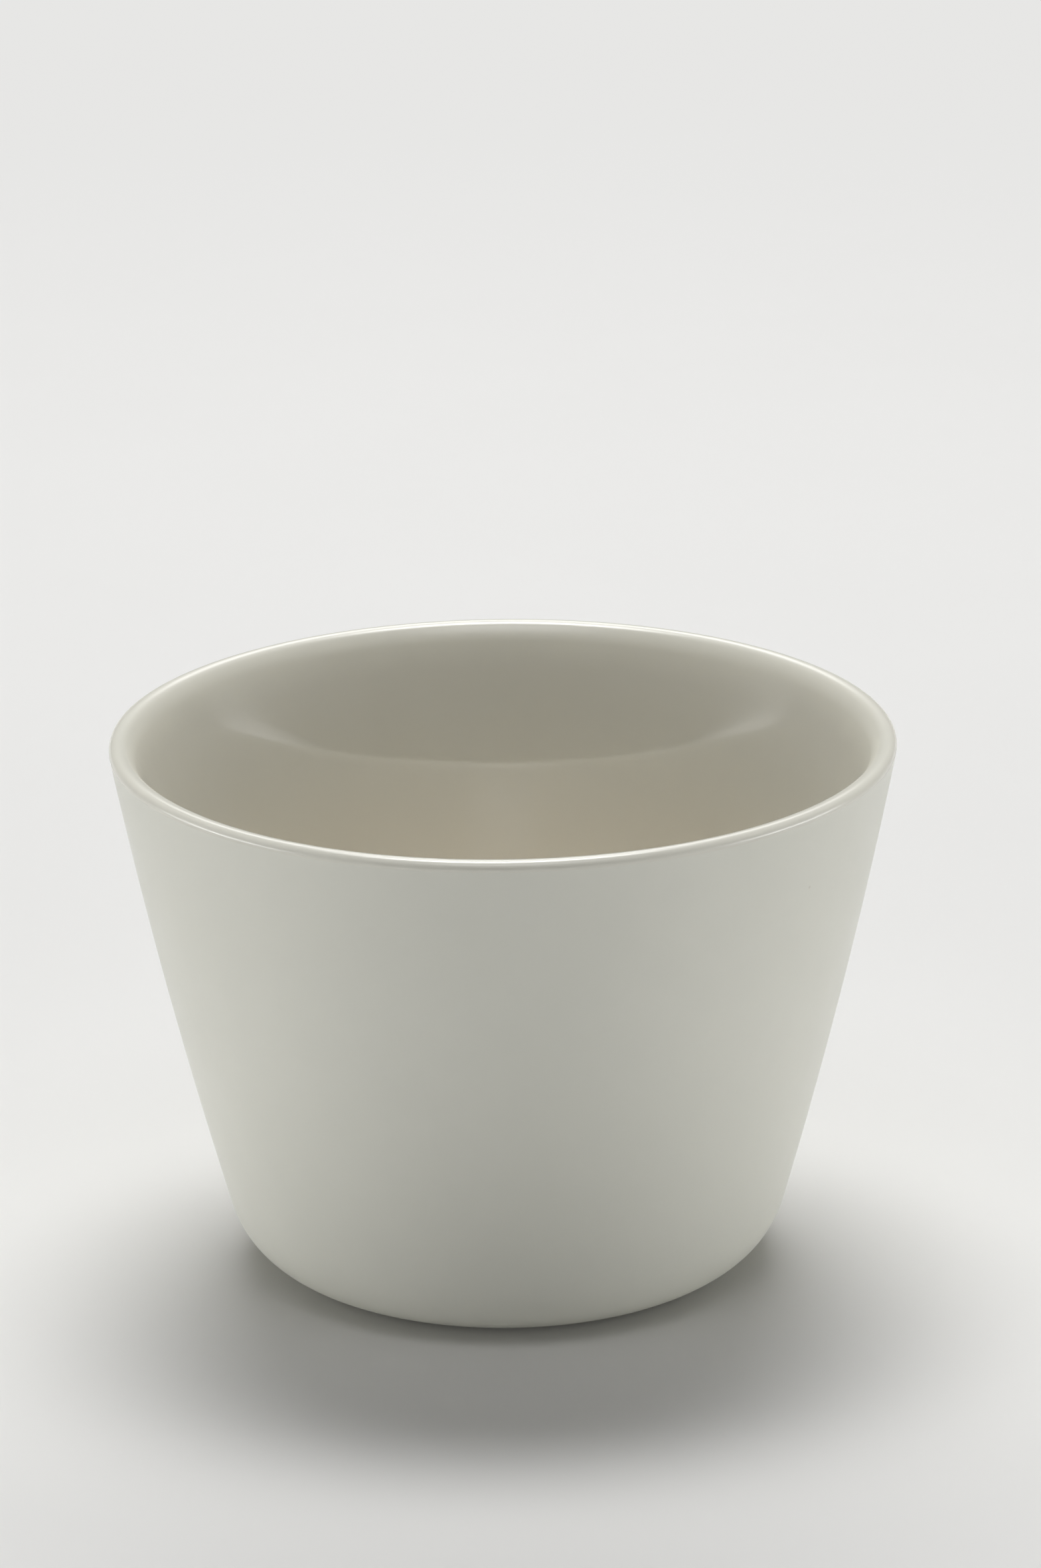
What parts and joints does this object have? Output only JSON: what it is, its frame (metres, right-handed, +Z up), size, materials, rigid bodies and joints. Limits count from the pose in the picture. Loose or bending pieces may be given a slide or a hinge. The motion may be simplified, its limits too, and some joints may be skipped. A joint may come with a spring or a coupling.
{
  "type": "handleless cappuccino cup",
  "caption": "Tapered handleless porcelain cup with a lip that rolls softly into the bowl, a rounded base corner and bare foot ring, satin outside and glossy inside, for a cappuccino or other hot drink.",
  "frame": {"origin": "centre of the foot ring's ground face, on the table", "axes": "+Z up along the cup's axis of revolution; X and Y are alike"},
  "size_m": [0.095, 0.095, 0.067],
  "materials": {
    "bare_porcelain": "bare ground porcelain, matt",
    "satin_glaze": "satin warm white glaze",
    "liner_glaze": "glossy cream white glaze",
    "underside_glaze": "satin warm white glaze"
  },
  "bodies": {
    "root": {"porcelain_body": "bare_porcelain", "outer_glaze": "satin_glaze", "liner_glaze": "liner_glaze", "base_glaze": "underside_glaze"}
  },
  "joints": []
}
